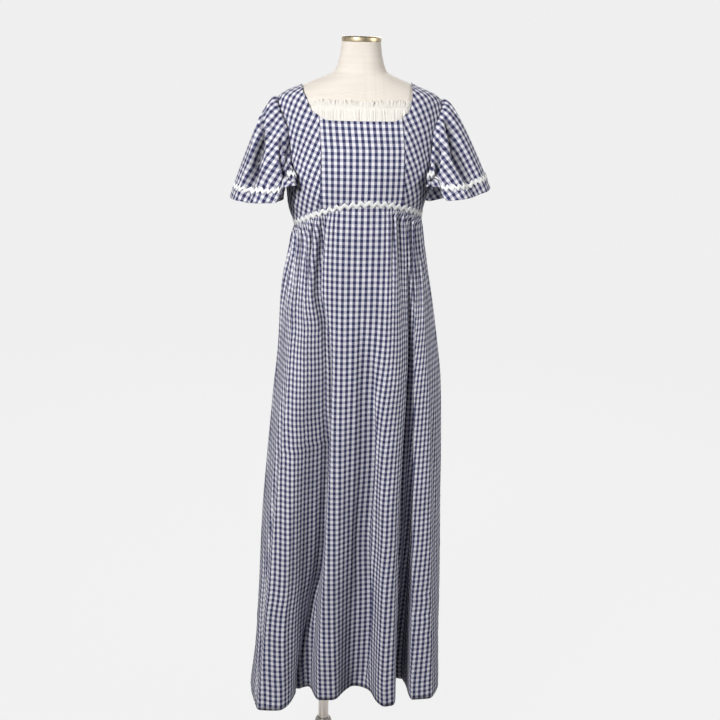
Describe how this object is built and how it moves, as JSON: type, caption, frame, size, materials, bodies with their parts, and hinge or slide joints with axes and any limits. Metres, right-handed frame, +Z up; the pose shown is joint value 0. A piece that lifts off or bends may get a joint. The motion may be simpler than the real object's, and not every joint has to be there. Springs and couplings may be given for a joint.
{
  "type": "gingham maxi dress on limbless dress form",
  "caption": "Long navy and white gingham dress with empire seam, flared short sleeves, white rickrack and gathered white inset, on a linen dress form with a pole and a round base.",
  "frame": {"origin": "centre of the stand's underside, on the pole's axis", "axes": "+Z up along the pole, the dress's front faces -Y, +X to the wearer's left"},
  "size_m": [0.56, 0.3221, 1.7856],
  "materials": {
    "gingham": "navy and white woven cotton check, matt",
    "inset_cotton": "crinkled off-white cotton, matt",
    "rickrack": "white cotton braid, matt",
    "zip_tape": "navy woven tape, matt",
    "zip_metal": "worn nickel",
    "form_linen": "natural linen stretched over the form",
    "cap_brass": "antique brass, satin",
    "pole_steel": "brushed",
    "base_steel": "satin"
  },
  "bodies": {
    "dress": {"front_centre": "gingham", "side_front_left": "gingham", "side_front_right": "gingham", "bodice_back_left": "gingham", "bodice_back_right": "gingham", "sleeve_left": "gingham", "sleeve_right": "gingham", "skirt_front": "gingham", "skirt_back_left": "gingham", "skirt_back_right": "gingham", "neck_inset": "inset_cotton", "waist_braid": "rickrack", "sleeve_braid_left": "rickrack", "sleeve_braid_right": "rickrack", "zip_chain": "zip_tape", "zip_slider": "zip_metal", "dress_form": "form_linen", "neck_cap": "cap_brass", "stand_pole": "pole_steel", "pole_socket": "pole_steel", "stand_base": "base_steel"},
    "pull_tab": {"zip_pull": "zip_metal"}
  },
  "joints": [
    {"name": "pull_tab_hinge", "type": "hinge", "parent": "dress", "child": "pull_tab", "pos_m": [0.056, 0.09964, 1.64831], "axis": [1, 0, 0], "range_deg": [0, 150]}
  ]
}
